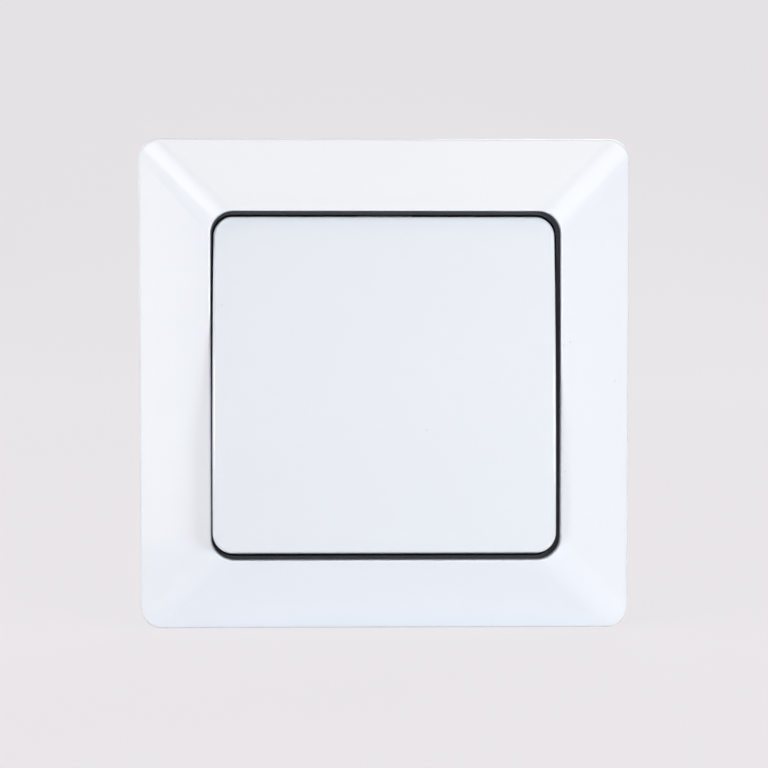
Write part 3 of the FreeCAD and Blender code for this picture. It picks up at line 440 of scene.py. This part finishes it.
def screw(head_radius, head_height, radius, length, pitch, facing, place, turn):
    """A screw whose head faces a direction and has its underside at place."""
    mesh = screw_head(head_radius, head_height)
    add_shank(mesh, radius, length, pitch)
    swing = Vector(facing).to_track_quat("Z", "Y").to_matrix().to_4x4()
    spin = Matrix.Rotation(math.radians(turn), 4, "Z")
    mesh.transform(Matrix.Translation(place) @ swing @ spin)
    return mesh


def claw_screws():
    """The screws that spread the claws, each moved by its own joint."""
    for side, turn in CLAW_TURNS:
        node = f"claw_screw_{side}"
        low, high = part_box(node)
        head_radius = (high.x - low.x) / 2
        under = Vector(((low.x + high.x) / 2, low.y + CLAW_HEAD, (low.z + high.z) / 2))
        sizes = (head_radius, CLAW_HEAD, CLAW_RADIUS, high.y - under.y, CLAW_PITCH)
        mesh = screw(*sizes, FORWARD, under, turn)
        stand_for(add_object(f"{node}_threaded", mesh), node, node)


def cover_fasteners():
    """The four screws through cover, plate and housing, as one piece."""
    low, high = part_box("cover_screws")
    under = low.y + COVER_HEAD
    sizes = (COVER_HEAD_RADIUS, COVER_HEAD, COVER_RADIUS, high.y - under, COVER_PITCH)
    columns = (low.x + COVER_HEAD_RADIUS, high.x - COVER_HEAD_RADIUS)
    heights = (low.z + COVER_HEAD_RADIUS, high.z - COVER_HEAD_RADIUS)
    corners = [(x, under, z) for x in columns for z in heights]
    whole = bmesh.new()
    for corner, turn in zip(corners, COVER_TURNS):
        one = screw(*sizes, FORWARD, Vector(corner), turn)
        loose = bpy.data.meshes.new("one_screw")
        one.to_mesh(loose)
        one.free()
        whole.from_mesh(loose)
        bpy.data.meshes.remove(loose)
    stand_for(add_object("cover_screws_threaded", whole), "cover_screws", "base")


def terminal_screws():
    """The screws that clamp the wires, heads towards the housing's ends."""
    for name, up, turn in CLAMP_TURNS:
        node = f"{name}_terminal_screw"
        low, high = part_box(node)
        head_radius = (high.x - low.x) / 2
        tip, top = (low.z, high.z) if up > 0 else (high.z, low.z)
        under = Vector(((low.x + high.x) / 2, (low.y + high.y) / 2, top - up * CLAMP_HEAD))
        sizes = (head_radius, CLAMP_HEAD, CLAMP_RADIUS, abs(under.z - tip), CLAMP_PITCH)
        mesh = screw(*sizes, (0, 0, up), under, turn)
        stand_for(add_object(f"{node}_threaded", mesh), node, "base")


# Springs


def add_coil(node, body):
    """A copy of a CAD node's coil, which takes the node's place, finish and motion without changing its
    shape.
    """
    coil = bpy.data.objects.new(f"{node}_coil", frame["nodes"][node].data.copy())
    bpy.context.scene.collection.objects.link(coil)
    stand_for(coil, node, body)
    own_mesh(coil)


def springs():
    """The key's return spring stands on the cover, and the plunger's spring in the carrier's boss."""
    add_coil("return_spring", "base")
    add_coil("plunger_spring", "key")


# Contact block


OVERCUT, WELD = 0.2 * MM, 0.001 * MM
ENTRY_HEIGHT, ENTRY_RADIUS = 15.2 * MM, 2.25 * MM
FUNNEL_DEPTH, FUNNEL_SPREAD = 1.2 * MM, 1.2 * MM
SLOT_ASIDE, SLOT_WIDTH, SLOT_HEIGHT, SLOT_DEPTH = 7.5 * MM, 3.2 * MM, 1.6 * MM, 1.0 * MM
MARK_ASIDE, MARK_HEIGHT, MARK_RADIUS, MARK_DEPTH = 13.2 * MM, 9.0 * MM, 1.5 * MM, 0.2 * MM
LABEL_WIDTH, LABEL_HEIGHT, LABEL_DEPTH = 18.0 * MM, 9.0 * MM, 0.35 * MM
GAUGE_ASIDE, GAUGE_WIDTH, GAUGE_HEIGHT, GAUGE_DEPTH = 12.1 * MM, 1.2 * MM, 11.0 * MM, 0.4 * MM
GRIP_FACE, GRIP_PITCH, GRIP_WIDTH, GRIP_DEPTH = 19.0 * MM, 2.4 * MM, 1.0 * MM, 0.4 * MM
GRIP_START, GRIP_END, GRIPS_EACH_WAY = 9.0 * MM, 18.5 * MM, 3


def add_pocket(mesh, middle, width, height, depth):
    """Adds a block that sinks a pocket into a back face, about a middle on that face."""
    x, back, z = middle
    low = (x - width / 2, back - depth, z - height / 2)
    add_block(mesh, low, (x + width / 2, back + OVERCUT, z + height / 2))


def add_back_marks(mesh, back):
    """Adds the wire funnels, release slots, ejector marks, bare label field and stripping gauge."""
    funnel = FUNNEL_DEPTH + OVERCUT
    mouth = ENTRY_RADIUS + FUNNEL_SPREAD * funnel / FUNNEL_DEPTH
    for end in (-1, 1):
        add_cone(mesh, (0, back + OVERCUT, end * ENTRY_HEIGHT), mouth, ENTRY_RADIUS, funnel)
        for side in (-1, 1):
            slot = (side * SLOT_ASIDE, back, end * ENTRY_HEIGHT)
            add_pocket(mesh, slot, SLOT_WIDTH, SLOT_HEIGHT, SLOT_DEPTH)
            mark = (side * MARK_ASIDE, back + OVERCUT, end * MARK_HEIGHT)
            add_cone(mesh, mark, MARK_RADIUS, MARK_RADIUS, MARK_DEPTH + OVERCUT)
    add_pocket(mesh, (0, back, 0), LABEL_WIDTH, LABEL_HEIGHT, LABEL_DEPTH)
    add_pocket(mesh, (GAUGE_ASIDE, back, 0), GAUGE_WIDTH, GAUGE_HEIGHT, GAUGE_DEPTH)


def add_side_grips(mesh):
    """Adds the rows of grooves that give the housing's sides a grip."""
    inner, outer = GRIP_FACE - GRIP_DEPTH, GRIP_FACE + OVERCUT
    for near, far in ((inner, outer), (-outer, -inner)):
        for step in range(-GRIPS_EACH_WAY, GRIPS_EACH_WAY + 1):
            low = step * GRIP_PITCH - GRIP_WIDTH / 2
            add_block(mesh, (near, GRIP_START, low), (far, GRIP_END, low + GRIP_WIDTH))


def housing_shell():
    """The housing with the details that its moulding has at the back and sides."""
    plain = frame["nodes"]["base_housing"].data.copy()
    if "custom_normal" in plain.attributes:
        plain.attributes.remove(plain.attributes["custom_normal"])
    shell, cutter = bmesh.new(), bmesh.new()
    shell.from_mesh(plain)
    bpy.data.meshes.remove(plain)
    bmesh.ops.remove_doubles(shell, verts=shell.verts, dist=WELD)
    add_back_marks(cutter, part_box("base_housing")[1].y)
    add_side_grips(cutter)
    made = add_object("housing_shell", carved(shell, cutter))
    even = made.modifiers.new("even", "WEIGHTED_NORMAL")
    even.keep_sharp = True
    stand_for(made, "base_housing", "base")


claw_screws()
cover_fasteners()
terminal_screws()
springs()
housing_shell()


# Floor, light and camera


GLOW, GLOW_SHARE = (0.859, 0.834, 0.859, 1), 0.88
SWEEP_GAP, SWEEP_BEND, BEND_STEPS = 0.05 * MM, 0.5, 16
SWEEP_NEAR, SWEEP_BACK, SWEEP_TOP, SWEEP_SIDE = -2.2, 1.6, 2.2, 3.0
SKY, SKY_STRENGTH = (0.985, 0.99, 1.0, 1), 0.1
WHITE, WIDE, GATHERED = (1.0, 1.0, 1.0), 180, 100
LAMP_AIM = Vector((0, -5 * MM, 0))
# Each lamp's name, place, width and height in metres, watts, colour and spread in degrees
LAMPS = (
    ("right_lamp", (0.289, -0.344, 0.016), (0.083, 0.105), 0.322, (0.905, 0.96, 1.0), GATHERED),
    ("left_lamp", (-0.554, -0.709, 0.031), (0.1, 0.2), 1.0, (0.87, 0.95, 1.0), GATHERED),
    ("left_strip", (-0.15, -0.03, 0.0), (0.06, 0.2), 0.042, (1.0, 0.95, 0.85), WIDE),
    ("top_strip", (0.0, -0.2, 1.0), (0.8, 0.5), 1.6, (1.0, 0.88, 0.65), WIDE),
    ("upper_left", (-0.6, -0.44, 0.67), (0.45, 0.45), 1.6, (1.0, 0.91, 0.95), WIDE),
    ("upper_right", (0.7, -0.44, 0.56), (0.5, 0.5), 1.1, (1.0, 0.85, 0.75), WIDE),
    ("rear_right", (0.45, 1.1, 0.75), (0.8, 0.8), 5.0, WHITE, WIDE),
    ("rear_left", (-0.7, 1.0, 0.4), (0.8, 0.8), 1.5, WHITE, WIDE),
    ("rear_top", (0.0, 0.12, 0.2), (0.2, 0.05), 0.045, WHITE, WIDE),
)
SENSOR_WIDTH, FOCAL_PIXELS, IMAGE_PIXELS = 36.0, 1822.1, 768
CLIP_NEAR, CLIP_FAR = 0.01, 20
CAMERA_PLACE = (-5.588 * MM, -303.6 * MM, 11.45 * MM)
CAMERA_DOWN, CAMERA_YAW = 2.163, -1.046


def pale_sweep():
    """Matt pale sheet; the eye and mirrors see it nearly even, and a little of its own shade."""
    finish = Finish("pale_sweep", {"Base Color": PALE, "Roughness": 0.9, "Specular IOR Level": 0.0})
    glow = finish.node("ShaderNodeEmission", {}, {"Color": GLOW, "Strength": 1.0})
    lit = Field(finish, finish.shader.outputs["BSDF"])
    sheet = finish.node("ShaderNodeMixShader", {}, {0: GLOW_SHARE * finish.seen(), 1: lit, 2: glow})
    finish.feed(finish.tree.nodes["Material Output"].inputs["Surface"], sheet)
    return finish.material


def pale_floor():
    """A floor that sweeps up into a backdrop well behind the switch."""
    low = cad_low.z - SWEEP_GAP
    foot = SWEEP_BACK - SWEEP_BEND
    profile = [(SWEEP_NEAR, low), (foot, low)]
    for step in range(1, BEND_STEPS + 1):
        angle = math.radians(90 * step / BEND_STEPS)
        rise = SWEEP_BEND * (1 - math.cos(angle))
        profile.append((foot + SWEEP_BEND * math.sin(angle), low + rise))
    profile.append((SWEEP_BACK, SWEEP_TOP))
    mesh = bmesh.new()
    rows = [[mesh.verts.new((x, y, z)) for x in (-SWEEP_SIDE, SWEEP_SIDE)] for y, z in profile]
    for row, following in zip(rows, rows[1:]):
        mesh.faces.new((row[0], row[1], following[1], following[0]))
    floor = add_object("floor", mesh)
    floor.data.materials.append(pale_sweep())


def soft_box(name, place, size, watts, colour, spread):
    """A rectangular lamp that looks at the switch, its light gathered into spread degrees."""
    lamp = bpy.data.lights.new(name, "AREA")
    lamp.shape = "RECTANGLE"
    lamp.size, lamp.size_y = size
    lamp.energy, lamp.color, lamp.spread = watts, colour, math.radians(spread)
    holder = bpy.data.objects.new(name, lamp)
    holder.location = place
    aim = LAMP_AIM - Vector(place)
    holder.rotation_euler = aim.to_track_quat("-Z", "Y").to_euler()
    holder.visible_camera = False
    bpy.context.scene.collection.objects.link(holder)


def studio_light():
    """Faint even surroundings, and lamps in front, at the left, above and behind."""
    world = bpy.data.worlds.new("studio")
    world.use_nodes = True
    sky = Nodes(world.node_tree)
    light = sky.node("ShaderNodeBackground", {}, {"Color": SKY, "Strength": SKY_STRENGTH})
    shown = sky.node("ShaderNodeBackground", {}, {"Color": PALE})
    choice = sky.node("ShaderNodeMixShader", {}, {0: sky.seen(), 1: light, 2: shown})
    sky.feed(sky.tree.nodes["World Output"].inputs["Surface"], choice)
    bpy.context.scene.world = world
    for lamp in LAMPS:
        soft_box(*lamp)


def photo_camera():
    """Looks at the switch from a little above and a little to its left, as the photo does."""
    lens = bpy.data.cameras.new("camera")
    lens.sensor_width = SENSOR_WIDTH
    lens.lens = SENSOR_WIDTH * FOCAL_PIXELS / IMAGE_PIXELS
    lens.clip_start, lens.clip_end = CLIP_NEAR, CLIP_FAR
    camera = bpy.data.objects.new("camera", lens)
    camera.location = CAMERA_PLACE
    camera.rotation_euler = (math.radians(90 - CAMERA_DOWN), 0, math.radians(CAMERA_YAW))
    bpy.context.scene.collection.objects.link(camera)
    bpy.context.scene.camera = camera


pale_floor()
studio_light()
photo_camera()
bpy.context.scene.view_settings.view_transform = "Standard"
